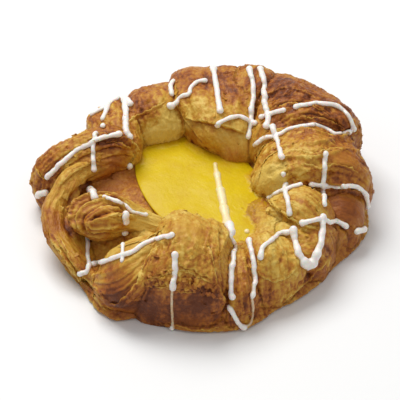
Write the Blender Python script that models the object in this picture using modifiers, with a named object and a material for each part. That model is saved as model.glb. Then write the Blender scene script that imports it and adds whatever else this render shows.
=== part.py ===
"""A round pastry of twisted laminated dough, with custard in its middle and icing drizzled over it."""

import math

import bmesh
import bpy
import numpy as np
from mathutils import Matrix, Vector, noise
from mathutils.bvhtree import BVHTree

MM = 0.001

# Gap left between the crust and the custard, in millimetres.
GAP = 0.3

# Grid in which the lobes are fused into one solid, and the number of triangles kept of it.
FUSE_VOXEL = 0.8
CRUST_TRIANGLES = 5600

# Depth of the broad lumps and of the ridges that run along each lobe, in millimetres.
LUMP_DEPTH = 1.5
RIDGE_DEPTH = 1.6

# The ring under the lobes. A row is an angle in degrees, the ring's outer radius there,
# and its top height at the radii of RING_STEPS.
RING_STEPS = (22, 29, 36, 43, 49)
RING = [
    (0, 56, 13, 18, 24, 24, 18),
    (30, 57, 13, 18, 23, 24, 19),
    (60, 57, 13, 16, 23, 25, 21),
    (90, 53, 13, 16, 24, 25, 17),
    (120, 50, 13, 13, 20, 23, 12),
    (150, 52, 13, 16, 20, 19, 13),
    (175, 54, 13, 14, 14, 13, 15),
    (195, 52, 13, 14, 13, 11, 12),
    (215, 50.5, 13, 16, 12, 8, 8),
    (236, 55, 14, 18, 14, 11, 10),
    (248, 52.5, 14, 18, 18, 15, 12),
    (270, 55.5, 13, 20, 24, 23, 18),
    (285, 57, 13, 16, 18, 18, 14),
    (302, 53, 13, 15, 15, 14, 10),
    (330, 53, 14, 17, 18, 16, 11),
]

# Each lobe of the twisted strip is a plump roll along a short path over the ring.
# A station is the path's angle in degrees, radius and height, then the roll's half-width and half-height there.
LOBES = {
    "back": [
        (85, 44, 3, 16, 9), (85, 45, 15, 17, 10), (83, 39, 21, 16.5, 13),
        (77, 30, 19, 14.5, 13), (69, 22, 15, 12, 12), (66, 18, 11, 11, 9),
    ],
    "back_left": [
        (113, 43, 3, 12, 8), (113, 43, 14, 13, 9.5), (115, 38, 19, 13.5, 11.5),
        (117, 33, 15, 12, 10), (117, 30, 10, 8, 6),
    ],
    "left_wedge": [
        (137, 45, 3, 13, 8), (137, 46, 14, 13, 9.5), (138, 40, 18.5, 11, 10.5),
        (141, 33, 17, 7, 9.5), (144, 28, 12, 4, 6),
    ],
    "left": [
        (166, 50, 4, 10, 7), (166, 51, 12, 9, 8), (160, 44, 18, 8, 9.5),
        (152, 34, 18.5, 7.5, 9.5), (146, 28, 13, 5, 7),
    ],
    "left_crest": [
        (169, 51, 17, 4, 4), (161, 44, 24, 4.5, 6), (154, 36, 25, 4.5, 5.5), (147, 29, 21, 3.5, 5),
    ],
    "left_lip": [
        (182, 50, 14, 4, 5), (172, 44, 16, 3.5, 5), (160, 34, 18, 3.5, 5), (146, 28, 15, 4, 5),
    ],
    "left_rim": [
        (170, 51, 9, 5, 9), (184, 49, 8.5, 5, 9), (198, 47, 6, 5, 8.5),
        (212, 46, 3, 5, 7.5), (224, 48, 1, 6, 6),
    ],
    "curl": [
        (200, 40, 12, 6.5, 8), (206, 38, 18.5, 8.5, 10), (216, 34, 20.5, 8.5, 10),
        (234, 30, 19, 8, 10), (256, 28, 16, 6, 8),
    ],
    "front_left": [
        (224, 49, 1, 5, 6), (232, 50, 4, 7, 8), (240, 47, 8, 8.5, 11),
        (250, 43, 12.5, 9, 12.5), (260, 38, 15, 8, 13),
    ],
    "front": [
        (266, 50, 1, 15, 7), (266, 48, 13, 15, 9), (266, 41, 18, 14, 12),
        (265, 32, 19, 12.5, 12), (267, 24, 14, 9, 10),
    ],
    "front_groove": [
        (287, 50, 1, 6, 6), (287, 47, 9, 6, 8), (289, 38, 11, 6, 8), (295, 30, 9, 5, 7),
    ],
    "front_right": [
        (303, 47, 2, 12, 7), (303, 45, 9, 12.5, 9), (304, 40, 10, 11, 9.5), (306, 31, 8, 9, 8),
    ],
    "right_low": [
        (329, 48, 2, 11, 7), (328, 48, 8, 11.5, 8.5), (324, 41, 10, 10, 9), (318, 31, 9, 8, 7),
    ],
    "right_face": [
        (347, 49, 2, 10, 8), (348, 49, 10, 11, 8.5), (347, 42, 13, 9, 9),
    ],
    "right_small": [
        (335, 49, 9, 8, 8), (333, 42, 15, 8.5, 8.5), (332, 35, 15, 8.5, 8.5), (336, 27, 10, 7, 7),
    ],
    "right": [
        (11, 48, 3, 15, 9), (11, 47, 14, 15.5, 11), (10, 39, 20, 15, 13),
        (9, 28, 19, 14, 12.5), (9, 18, 13, 11, 11),
    ],
    "right_wedge": [
        (47, 51, 3, 19, 8), (47, 51, 15, 20, 10), (46, 45, 20.5, 18, 12),
        (45, 35, 19, 12, 11.5), (44, 26, 12, 7, 8),
    ],
}

# The pool of custard, an oval that lies across the middle.
POOL_CENTRE = (1.5, 2.2)
POOL_LONG = 31.5
POOL_SHORT = 19.0
POOL_TURN = math.radians(-60)
POOL_LEVEL = 14.0
POOL_DOME = 1.6
POOL_FLOOR = 5.0

# The drizzle. A stroke is its width, then its points as seen from in front and 42 degrees above:
# millimetres to the right of the middle and above it. Each point is dropped onto the surface along that view.
DRIZZLE_SLOPE = math.radians(42)
DRIZZLE_STEP = 3.2
DRIZZLE_JUMP = 8.0
CRUST_STROKES = [
    (1.8, (-37, 38), (-33, 40.3), (-30, 42.4), (-27, 44), (-25, 43), (-23.6, 41.5)),
    (2.3, (-25.8, 43), (-25.2, 37), (-25.5, 32), (-24.5, 30)),
    (1.7, (-31.7, 40.8), (-33, 36.3)),
    (1.6, (-35.7, 31), (-36.2, 28.5), (-36.5, 25), (-36.3, 18.8)),
    (1.8, (-51.9, 16.6), (-46.3, 22), (-41.4, 25.8), (-36.5, 28.5), (-31.7, 30.3), (-27.7, 31)),
    (1.7, (-9.1, 49.4), (-10.2, 47.8), (-9.9, 45)),
    (1.7, (1.6, 49.4), (-1.1, 48.9), (-3.2, 46.7), (-3.4, 45), (-6.2, 44), (-8.1, 41.9)),
    (1.8, (-54.2, 11.3), (-55.4, 8.6), (-54.2, 7.5)),
    (2.2, (-37.1, 11.8), (-35.6, 9.3)),
    (1.4, (-32.2, 9.7), (-26.3, 7.5), (-22.6, 4.5), (-18.3, 3.5)),
    (1.8, (-25.1, 3.8), (-25.1, 1.1)),
    (1.6, (-38.1, -4.3), (-38.1, -10.2), (-37.5, -15), (-40.3, -16)),
    (1.4, (-25.6, -6.4), (-25.8, -11.8)),
    (1.8, (-36, -13.4), (-31, -11.8), (-26.3, -10), (-22, -8.6), (-19, -6.4), (-15, -4.8), (-9.1, -3.2)),
    (1.8, (-8.4, -9.1), (-8.6, -14), (-9.4, -20.4), (-9.4, -26.3), (-9.1, -34)),
    (2.0, (4.5, 54), (5.4, 49), (6.1, 44), (6.8, 38.9)),
    (1.9, (17, 53.5), (17.9, 49), (18, 44.6), (17.4, 39.7), (17, 34.4), (16.6, 30.3)),
    (2.1, (20.6, 53.5), (21.7, 50), (22.2, 45), (22.3, 42), (23.4, 37.5), (22.9, 33.6)),
    (1.8, (24.7, 33.6), (25.8, 30.6), (26.9, 27), (27.7, 23)),
    (1.7, (20.9, 37.1), (28.7, 39.2)),
    (1.7, (5.9, 34.4), (9.7, 36.5), (13.4, 37.1), (16.6, 35.7), (19.1, 34.9)),
    (1.8, (32.8, 40.3), (39, 41.4), (45.6, 41), (48.9, 39), (50.9, 36.5), (52.6, 33)),
    (1.6, (19.1, 27.4), (20.4, 28.7), (22.6, 30), (26.9, 30.6), (30, 32.4), (34, 33.4), (39, 34)),
    (1.6, (39, 34), (42.7, 33), (46.4, 31), (51, 32)),
    (1.8, (29, 14), (29, 11.3), (29.8, 7.5), (30.3, 4)),
    (1.7, (23.6, 9.1), (26.6, 11), (30.1, 12.4), (34, 13.4)),
    (1.8, (42.3, 24.2), (42.1, 19.6), (41.7, 14), (41.7, 7)),
    (1.7, (37.6, 14), (40.8, 13.6), (45.6, 13.4), (52.6, 13.2), (55.6, 11.5), (57, 9), (57.2, 6.5)),
    (1.8, (34.4, 0.7), (37.3, 1.6), (40.8, 2.1), (43.5, 1.1), (46.2, 1.6), (49.4, 0)),
    (2.0, (53, -1.9), (55.4, -1.3)),
    (1.8, (10.2, -4.3), (11.5, -7), (11.1, -11.3), (10.2, -17.7), (10.2, -22), (10.7, -23.6)),
    (1.8, (10.2, -26.9), (11.5, -30), (13.3, -33), (15, -34), (17, -32.5), (17.7, -28.5), (17.2, -24.2)),
    (1.8, (16.6, -5.2), (17.2, -8.6), (17.9, -12.9), (18.3, -17.7), (17.2, -24.2)),
    (1.7, (20.4, -10.7), (20.9, -7.3), (23.6, -5.2), (26.9, -2.7), (29.5, -2.1)),
    (2.4, (31.7, -1.6), (32.2, -5.9), (33.8, -10.2), (36.8, -13), (38.9, -11.3), (40.3, -7), (41, 3)),
]
CRUST_DROPS = [(1.9, (-24.5, 20.4)), (2.0, (-10.5, 40.8)), (2.0, (-25.5, -2.1)), (1.6, (28.2, 17.7)), (1.6, (-33.3, 33.8))]
CUSTARD_STROKES = [(2.6, (5.7, 18.6), (6.1, 15.5), (7, 9.7), (8.2, 4.2))]
CUSTARD_DROPS = [(1.7, (15, 0.4))]


def clear_scene():
    for obj in list(bpy.data.objects):
        bpy.data.objects.remove(obj, do_unlink=True)


def principled(name, colour, roughness):
    material = bpy.data.materials.new(name)
    material.use_nodes = True
    shader = material.node_tree.nodes["Principled BSDF"]
    shader.inputs["Base Color"].default_value = (*colour, 1)
    shader.inputs["Roughness"].default_value = roughness
    shader.inputs["Metallic"].default_value = 0
    return material


def new_object(name, mesh):
    """A linked object from a bmesh, which is freed."""
    data = bpy.data.meshes.new(name)
    mesh.to_mesh(data)
    mesh.free()
    obj = bpy.data.objects.new(name, data)
    bpy.context.scene.collection.objects.link(obj)
    return obj


def apply_modifiers(obj):
    """Replaces the object's mesh by its evaluated one and drops the modifiers."""
    graph = bpy.context.evaluated_depsgraph_get()
    data = bpy.data.meshes.new_from_object(obj.evaluated_get(graph))
    obj.modifiers.clear()
    obj.data = data


def smooth_path(points, s):
    """The values at s from 0 to 1 on a smooth curve through rows of numbers."""
    table = np.array(points, float)
    last = len(table) - 1
    place = np.clip(s, 0, 1) * last
    i = np.minimum(place.astype(int), last - 1)
    f = (place - i)[:, None]
    p0, p1 = table[np.maximum(i - 1, 0)], table[i]
    p2, p3 = table[i + 1], table[np.minimum(i + 2, last)]
    bend = (2 * p0 - 5 * p1 + 4 * p2 - p3) * f**2 + (3 * p1 - p0 - 3 * p2 + p3) * f**3
    return 0.5 * (2 * p1 + (p2 - p0) * f + bend)


def wavy(points, size, seed):
    """Smooth noise from -1 to 1 at each point, with lumps of the given size."""
    shift = Vector((17.3, 5.1, 9.7)) * seed
    return np.array([noise.noise(Vector(p) / size + shift) for p in points])


def squircle(angle, power):
    """Distance from the middle of a rounded square of half-width 1, seen at an angle."""
    return (np.abs(np.cos(angle)) ** power + np.abs(np.sin(angle)) ** power) ** (-1 / power)


def add_lobe(mesh, seed, stations, around=36, rings=34):
    """Adds a plump roll to a bmesh: a sphere drawn out along the stations' path, with lumps and ridges on it."""
    table = np.array(stations, float)
    turn = np.radians(table[:, 0])
    path = np.column_stack([table[:, 1] * np.cos(turn), table[:, 1] * np.sin(turn), table[:, 2:]])

    made = bmesh.ops.create_uvsphere(mesh, u_segments=around, v_segments=rings, radius=1)["verts"]
    unit = np.array([vert.co for vert in made])
    height = unit[:, 2]
    angle = np.arctan2(unit[:, 1], unit[:, 0])
    s = (height + 1) / 2
    here = smooth_path(path, s)
    ahead = (smooth_path(path, s + 0.01) - smooth_path(path, s - 0.01))[:, :3]
    ahead /= np.linalg.norm(ahead, axis=1)[:, None]

    outward = here[:, :3] * (1, 1, 0)
    outward /= np.linalg.norm(outward, axis=1)[:, None]
    side = np.cross(ahead, outward + (0, 0, 1))
    side /= np.linalg.norm(side, axis=1)[:, None]
    up = np.cross(side, ahead)

    plump = np.nan_to_num((1 - np.abs(height) ** 3) ** (1 / 3)) * squircle(angle, 2.5)
    across = here[:, 3] * plump * np.cos(angle)
    above = here[:, 4] * plump * np.sin(angle)
    offset = side * across[:, None] + up * above[:, None]
    place = here[:, :3] + offset
    out = offset / (np.linalg.norm(offset, axis=1)[:, None] + 1e-6)

    lumps = wavy(place, 11, seed) * LUMP_DEPTH
    grain = np.column_stack([np.cos(angle) * 2.6, np.sin(angle) * 2.6, s * 1.5])
    ridges = (0.5 - np.abs(wavy(grain, 1, seed + 40)) * 3).clip(-1, 0.5) * RIDGE_DEPTH
    place += out * ((lumps + ridges) * np.minimum(plump, 1))[:, None]
    for vert, co in zip(made, place):
        vert.co = Vector(co * MM)


def ring_at(turn):
    """The ring's outer radius and top heights at an angle in degrees."""
    angles = [row[0] for row in RING] + [360]
    rows = RING + [RING[0]]
    i = max(k for k in range(len(RING)) if angles[k] <= turn)
    f = (turn - angles[i]) / (angles[i + 1] - angles[i])
    f = (1 - math.cos(f * math.pi)) / 2
    return [a * (1 - f) + b * f for a, b in zip(rows[i][1:], rows[i + 1][1:])]


def add_ring(mesh, count=120):
    """Adds the low ring under the lobes, with a floor inside, as a turned shape whose section changes on the way."""
    loops = []
    for k in range(count):
        outer, *tops = ring_at(360 * k / count)
        section = [(0.01, 0), (outer - 2, 0), (outer, 4), (outer, 9)]
        section += [(min(radius, outer - 2), top) for radius, top in zip(reversed(RING_STEPS), reversed(tops))]
        section.append((0.01, 13))
        angle = math.tau * k / count
        spoke = Vector((math.cos(angle), math.sin(angle), 0))
        loops.append([mesh.verts.new((spoke * radius + Vector((0, 0, z))) * MM) for radius, z in section])
    for one, other in zip(loops, loops[1:] + loops[:1]):
        for i in range(len(one) - 1):
            mesh.faces.new((one[i], one[i + 1], other[i + 1], other[i]))
    bmesh.ops.remove_doubles(mesh, verts=list(mesh.verts), dist=0.00005)


def make_pool(name, grow=0):
    """The custard's own shape, or one that is larger all round."""
    mesh = bmesh.new()
    made = bmesh.ops.create_uvsphere(mesh, u_segments=40, v_segments=16, radius=1)["verts"]
    turned = Matrix.Rotation(POOL_TURN, 3, "Z")
    for vert in made:
        x, y, z = vert.co
        depth = POOL_DOME if z > 0 else POOL_LEVEL - POOL_FLOOR
        place = turned @ Vector((x * (POOL_LONG + grow), y * (POOL_SHORT + grow), z * (depth + grow)))
        vert.co = (place + Vector((*POOL_CENTRE, POOL_LEVEL))) * MM
    return new_object(name, mesh)


def make_crust():
    """The ring and lobes, fused, thinned out and cut level underneath."""
    mesh = bmesh.new()
    add_ring(mesh)
    for seed, stations in enumerate(LOBES.values()):
        add_lobe(mesh, seed, stations)
    bmesh.ops.recalc_face_normals(mesh, faces=list(mesh.faces))
    obj = new_object("pastry", mesh)
    fuse = obj.modifiers.new("fuse", "REMESH")
    fuse.mode = "VOXEL"
    fuse.voxel_size = FUSE_VOXEL * MM
    smooth = obj.modifiers.new("smooth", "SMOOTH")
    smooth.factor = 0.5
    smooth.iterations = 1
    apply_modifiers(obj)
    obj.data.calc_loop_triangles()
    thin = obj.modifiers.new("thin", "DECIMATE")
    thin.ratio = CRUST_TRIANGLES / len(obj.data.loop_triangles)
    apply_modifiers(obj)

    mesh = bmesh.new()
    mesh.from_mesh(obj.data)
    geometry = list(mesh.verts) + list(mesh.edges) + list(mesh.faces)
    bmesh.ops.bisect_plane(mesh, geom=geometry, plane_co=(0, 0, 0), plane_no=(0, 0, 1), clear_inner=True)
    bmesh.ops.holes_fill(mesh, edges=[edge for edge in mesh.edges if edge.is_boundary])
    mesh.to_mesh(obj.data)
    mesh.free()
    return obj


def surface_of(objects):
    """A search tree over the surfaces of some objects."""
    mesh = bmesh.new()
    for obj in objects:
        mesh.from_mesh(obj.data)
    tree = BVHTree.FromBMesh(mesh)
    mesh.free()
    return tree


def drop(surface, point):
    """Where a point of the drizzle lands, lifted a little off the surface."""
    ahead = Vector((0, math.cos(DRIZZLE_SLOPE), -math.sin(DRIZZLE_SLOPE)))
    above = Vector((0, math.sin(DRIZZLE_SLOPE), math.cos(DRIZZLE_SLOPE)))
    start = (Vector((point[0], 0, 0)) + above * point[1]) * MM - ahead * 0.2
    place, normal, _, _ = surface.ray_cast(start, ahead)
    return place and place + normal * 0.2 * MM


def make_bead(name, points, width):
    """A rounded bead of icing through points on the surface, with its ends drawn in."""
    curve = bpy.data.curves.new(name, "CURVE")
    curve.dimensions = "3D"
    curve.bevel_depth = width / 2 * MM
    curve.bevel_resolution = 1
    curve.use_fill_caps = True
    spline = curve.splines.new("POLY")
    spline.points.add(len(points) - 1)
    for i, place in enumerate(points):
        spline.points[i].co = (*place, 1)
        spline.points[i].radius = 0.55 if i in (0, len(points) - 1) else 1 + 0.15 * noise.noise(place * 300)
    guide = bpy.data.objects.new(name, curve)
    bpy.context.scene.collection.objects.link(guide)
    graph = bpy.context.evaluated_depsgraph_get()
    mesh = bmesh.new()
    mesh.from_mesh(bpy.data.meshes.new_from_object(guide.evaluated_get(graph)))
    bpy.data.objects.remove(guide, do_unlink=True)
    bmesh.ops.remove_doubles(mesh, verts=list(mesh.verts), dist=0.00002)
    bmesh.ops.recalc_face_normals(mesh, faces=list(mesh.faces))
    return new_object(name, mesh)


def make_drop(name, place, width):
    """A round drop of icing."""
    mesh = bmesh.new()
    bmesh.ops.create_icosphere(mesh, subdivisions=1, radius=width / 2 * MM, matrix=Matrix.Translation(place))
    return new_object(name, mesh)


def make_drizzle(name, surface, strokes, drops):
    """All the beads and drops that land on one surface, in a collection of their own."""
    beads = bpy.data.collections.new(name)
    bpy.context.scene.collection.children.link(beads)
    made = []
    for width, *points in strokes:
        length = sum(math.dist(a, b) for a, b in zip(points, points[1:]))
        steps = np.linspace(0, 1, max(3, round(length / DRIZZLE_STEP) + 1))
        landed = [drop(surface, point) for point in smooth_path(points, steps)]
        runs = [[]]
        for place in landed:
            if place is None or runs[-1] and (place - runs[-1][-1]).length > DRIZZLE_JUMP * MM:
                runs.append([])
            if place is not None:
                runs[-1].append(place)
        for run in runs:
            if len(run) > 1:
                made.append(make_bead(name + "_bead", run, width))
    for width, point in drops:
        made.append(make_drop(name + "_drop", drop(surface, point), width))
    for obj in made:
        bpy.context.scene.collection.objects.unlink(obj)
        beads.objects.link(obj)
    return beads


def combine(obj, operation, other):
    """Joins or cuts an object with another, or with a whole collection, and removes those."""
    change = obj.modifiers.new(operation.lower(), "BOOLEAN")
    change.operation = operation
    if isinstance(other, bpy.types.Collection):
        change.operand_type = "COLLECTION"
        change.collection = other
    else:
        change.object = other
    apply_modifiers(obj)
    used = list(other.objects) if isinstance(other, bpy.types.Collection) else [other]
    for tool in used:
        bpy.data.objects.remove(tool, do_unlink=True)


def keep_largest(obj):
    """Removes loose scraps, leaving the one body with the most faces."""
    mesh = bmesh.new()
    mesh.from_mesh(obj.data)
    bmesh.ops.triangulate(mesh, faces=list(mesh.faces))
    left = set(mesh.verts)
    bodies = []
    while left:
        body, front = set(), [left.pop()]
        while front:
            vert = front.pop()
            body.add(vert)
            near = {edge.other_vert(vert) for edge in vert.link_edges} & left
            left -= near
            front.extend(near)
        bodies.append(body)
    bodies.sort(key=len)
    bmesh.ops.delete(mesh, geom=[vert for body in bodies[:-1] for vert in body], context="VERTS")
    mesh.to_mesh(obj.data)
    mesh.free()


def main():
    clear_scene()
    crust = make_crust()
    custard = make_pool("custard")
    surface = surface_of([crust, custard])

    on_crust = make_drizzle("crust_icing", surface, CRUST_STROKES, CRUST_DROPS)
    on_custard = make_drizzle("custard_icing", surface, CUSTARD_STROKES, CUSTARD_DROPS)
    combine(crust, "UNION", on_crust)
    combine(crust, "DIFFERENCE", make_pool("well", GAP))
    combine(custard, "UNION", on_custard)

    for obj in (crust, custard):
        keep_largest(obj)
        obj.data.shade_smooth()
        obj.data.set_sharp_from_angle(angle=math.radians(50))
    crust.data.materials.clear()
    crust.data.materials.append(principled("baked_dough", (0.42, 0.20, 0.06), 0.45))
    custard.data.materials.clear()
    custard.data.materials.append(principled("custard", (0.75, 0.53, 0.04), 0.25))


main()
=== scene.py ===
"""A custard danish: a ring of baked twisted dough, a pool of custard and drizzled icing."""

import math

import bmesh
import bpy
import numpy as np
from mathutils import Matrix, Vector, noise
from mathutils.bvhtree import BVHTree
from mathutils.kdtree import KDTree


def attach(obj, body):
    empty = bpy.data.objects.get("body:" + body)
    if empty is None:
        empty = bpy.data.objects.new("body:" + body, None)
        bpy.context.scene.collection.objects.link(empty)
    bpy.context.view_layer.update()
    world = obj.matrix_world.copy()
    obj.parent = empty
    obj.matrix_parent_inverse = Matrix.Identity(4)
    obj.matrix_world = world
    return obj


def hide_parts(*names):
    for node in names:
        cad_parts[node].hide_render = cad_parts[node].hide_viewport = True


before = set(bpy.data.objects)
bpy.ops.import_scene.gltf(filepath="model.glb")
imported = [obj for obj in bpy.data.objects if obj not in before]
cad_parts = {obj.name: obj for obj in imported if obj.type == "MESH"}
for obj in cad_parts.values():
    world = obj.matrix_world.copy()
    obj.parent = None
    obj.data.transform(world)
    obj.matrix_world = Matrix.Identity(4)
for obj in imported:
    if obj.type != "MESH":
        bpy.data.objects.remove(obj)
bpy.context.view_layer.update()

# The crust: a strip of laminated dough, twisted and wound into a ring, brushed with egg and baked.
# Each fold that shows is a plump roll over a low ring; its thin layers stand proud along its length,
# and it browns most on its crest and its outer side.
MM = 0.001
CRUST_VOXEL = 0.38
CRUST_TRIANGLES = 196000
LUMP_SIZE = 11
LUMP_DEPTH = 1.5
BOXY = 3.2
# Rows of points, and points in each row, on the ring and on a fold.
RING_GRID = (150, 420)
FOLD_GRID = (190, 190)
# At each angle in degrees, the ring's outer radius and its height at the radii of RING_STEPS.
RING_STEPS = (22, 29, 36, 43, 49)
RING = [
    (0, 55.3, 15, 19, 22, 19, 14),
    (14, 55.5, 15, 19, 24, 24, 18),
    (30, 56.5, 13, 18, 24, 27, 25),
    (60, 56, 13, 16, 23, 25, 21),
    (90, 52.5, 13, 16, 24, 25, 17),
    (120, 50, 13, 14, 22, 26, 14),
    (150, 51.5, 13, 16, 20, 19, 13),
    (175, 52.5, 14, 13, 12.5, 13, 14),
    (195, 49, 13, 13.5, 11.5, 9.5, 11),
    (215, 48.3, 13, 16, 11.5, 7.5, 8),
    (238, 54, 14, 18, 14, 11, 10),
    (248, 49.5, 14, 18, 18, 15, 12),
    (270, 52, 13, 20, 24, 22, 16),
    (285, 52.5, 13, 16, 18, 18, 14),
    (302, 48.5, 13, 15, 15, 14, 10),
    (330, 48.5, 16, 18, 18, 16, 11),
]
# A station is the path's angle in degrees, radius and height, then the roll's half-width and
# half-height there. After its stations a fold has its number of layers, their depth, how crumpled
# it is, and how brown it is along its path.
FOLDS = {
    "back": (
        [
            (84, 44, -12, 17, 9), (83, 47, 15, 17, 10), (82, 41.2, 20.2, 16.8, 12.2),
            (75, 32, 18.5, 14, 12.5), (63, 26, 14, 9, 11), (57, 23, 10, 7, 8),
        ],
        5, 0.35, 0.35, (0.8, 0.75, 0.75, 0.15, 0.4),
    ),
    "back_seam": (
        [(69, 46, 8, 8, 10), (68, 47, 19, 9.5, 12), (68, 39, 19.5, 7, 11.5), (66, 31, 16, 5, 8)],
        5, 0.35, 0.35, (0.8, 0.75, 0.75, 0.4, 0.4),
    ),
    "back_left": (
        [
            (113, 41.5, -12, 13, 8), (114, 41.8, 13.5, 14, 9), (114.5, 38.2, 18.5, 13.7, 11),
            (115, 34.5, 17, 12, 8.5), (116, 31.5, 12, 9, 6),
        ],
        6, 0.4, 0.45, (0.8, 0.8, 0.75, 0.3, 0.2),
    ),
    "left_wedge": (
        [
            (132, 44.5, -12, 10, 8), (132, 45.5, 13, 8.5, 8.2), (135, 39.5, 16.5, 8.5, 9.6),
            (141, 33, 16, 7, 9.5), (144, 28, 12, 4, 6),
        ],
        7, 0.45, 0.5, (0.7, 0.5, 0.35, 0.5, 0.4),
    ),
    "left": (
        [
            (167, 46.5, -10, 8.5, 7), (167, 51.6, 12, 7.3, 7.2), (160, 43.5, 16.3, 7, 8.7),
            (152, 34, 18.5, 6.6, 9.2), (147, 28.5, 14, 4.2, 6),
        ],
        8, 0.55, 0.45, (0.8, 0.7, 0.6, 0.55, 0.35),
    ),
    "left_crest": (
        [(170, 51, 14, 4, 3.5), (161, 44, 19, 4.5, 5), (154, 36, 21.5, 4.5, 5), (146, 28, 20, 3.5, 5)],
        5, 0.5, 0.6, (0.9, 0.85, 0.85, 0.8, 0.6),
    ),
    "left_rim": (
        [
            (156, 30, 17, 2.5, 3), (166, 37, 18.5, 2.8, 3.4), (174, 43.3, 17.5, 3, 4.2),
            (184, 47, 12.8, 3.3, 6.2), (193, 48.2, 10.3, 3.3, 7.4), (202, 48, 8.5, 3.4, 8),
            (211, 47, 6.5, 4, 8), (219, 46.6, 3, 5.5, 7.5),
        ],
        5, 0.1, 0.15, (0.5, 0.45, 0.4, 0.45, 0.45),
    ),
    "curl": (
        [
            (198, 45.5, 14, 6, 6.5), (201, 41.5, 17, 7.2, 7.5), (207, 35.5, 18.5, 7.2, 7.5),
            (215, 29.5, 17.7, 5.5, 6.3), (225, 24.5, 15.3, 4, 4.5), (238, 20.5, 13.5, 3, 3.5),
        ],
        9, 0.6, 0.3, (0.6, 0.6, 0.55, 0.45, 0.35, 0.3),
    ),
    "front_left": (
        [
            (221, 44.5, 0, 6.5, 7), (227, 43.5, 2, 8, 8), (234, 43.3, 5.5, 10.5, 11),
            (241, 42.8, 9.5, 11, 12.5), (249, 38.5, 13.5, 10.5, 13), (257, 33, 16, 9, 12),
        ],
        9, 0.15, 0.15, (0.6, 0.5, 0.45, 0.4, 0.3),
    ),
    "front": (
        [
            (261, 44.2, -14, 19.5, 10), (262, 45, 10, 18, 9), (265.5, 40, 18, 13, 12),
            (266, 32, 18.4, 12.8, 11.6), (265, 25, 14.5, 12.8, 9.8), (264, 21, 8, 11, 8),
        ],
        7, 0.4, 0.4, (0.9, 0.8, 0.6, 0.3, 0.15, 0.1),
    ),
    "front_groove": (
        [(285, 46.6, -6, 7, 8), (285, 45.2, 9, 7, 8.5), (287, 38, 12, 7, 8.5), (293, 30, 9, 6, 7)],
        5, 0.5, 0.5, (0.8, 0.7, 0.6, 0.2, 0.1),
    ),
    "front_right": (
        [(304, 40.8, -6, 11, 8), (304, 42, 8, 11, 9), (306, 38.5, 11, 10.5, 10), (308, 32, 9, 9, 8.5)],
        6, 0.4, 0.5, (0.8, 0.55, 0.45, 0.35, 0.1),
    ),
    "right_low": (
        [(331, 41, -6, 11, 8), (330, 42.6, 7, 11.5, 8.5), (326, 39.5, 10.5, 10, 9), (320, 32, 9, 8, 7)],
        8, 0.5, 0.4, (0.8, 0.75, 0.6, 0.3, 0.1),
    ),
    "right_face": (
        [(354, 44.5, -10, 10, 8), (355.5, 47.8, 9, 10.5, 8.3), (354, 41.5, 11, 9.5, 8)],
        5, 0.25, 0.2, (0.8, 0.75, 0.7, 0.7, 0.6),
    ),
    "right_small": (
        [(337, 44, 10, 7, 8), (338, 39, 15, 8, 9), (339, 34, 16, 8, 9), (341, 27, 12.5, 6.5, 7.5)],
        5, 0.35, 0.35, (0.6, 0.5, 0.45, 0.35, 0.3),
    ),
    "right": (
        [
            (16, 46, -10, 10, 8), (11.5, 48.3, 13.3, 14.7, 9.7), (12, 41, 19, 12.8, 12.3),
            (11.5, 32.5, 18.5, 12.3, 12), (11, 26, 15, 11, 10.2), (9, 22.3, 10, 8.5, 8),
        ],
        7, 0.55, 0.6, (0.75, 0.75, 0.7, 0.55, 0.3, 0.15),
    ),
    "right_wedge": (
        [
            (44, 50.5, -12, 20, 9), (43.5, 52.1, 15.5, 22.3, 10), (44.5, 46.5, 21, 21.2, 11.6),
            (44, 36, 19.5, 13, 11.5), (44, 26, 12, 8, 8),
        ],
        9, 0.6, 0.4, (0.8, 0.8, 0.75, 0.55, 0.3),
    ),
}


def smooth_path(points, way):
    """The values along a smooth curve through rows of numbers, at each part from 0 to 1 of the way."""
    table = np.array(points, float)
    last = len(table) - 1
    place = np.clip(way, 0, 1) * last
    i = np.minimum(place.astype(int), last - 1)
    share = (place - i)[:, None]
    before, here = table[np.maximum(i - 1, 0)], table[i]
    after, beyond = table[i + 1], table[np.minimum(i + 2, last)]
    bend = (2 * before - 5 * here + 4 * after - beyond) * share**2
    bend = bend + (3 * here - before - 3 * after + beyond) * share**3
    return 0.5 * (2 * here + (after - before) * share + bend)


def wavy(points, size, seed):
    """Smooth noise from -1 to 1 at each point, with lumps of the given size."""
    moved = points / size + np.array((17.3, 5.1, 9.7)) * seed
    return np.array([noise.noise(spot) for spot in moved.tolist()])


def grid_faces(rows, columns, start):
    """Quads over a grid of points whose columns go all the way round."""
    row = np.arange(rows - 1)[:, None] * columns
    here = np.arange(columns)[None, :]
    after = (here + 1) % columns
    quads = np.stack([row + here, row + after, row + columns + after, row + columns + here], axis=-1)
    return quads.reshape(-1, 4) + start


def stations(path):
    """A fold's stations as rows of x, y, z, half-width and half-height."""
    table = np.array(path, float)
    turn = np.radians(table[:, 0])
    return np.column_stack([table[:, 1] * np.cos(turn), table[:, 1] * np.sin(turn), table[:, 2:]])


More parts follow.
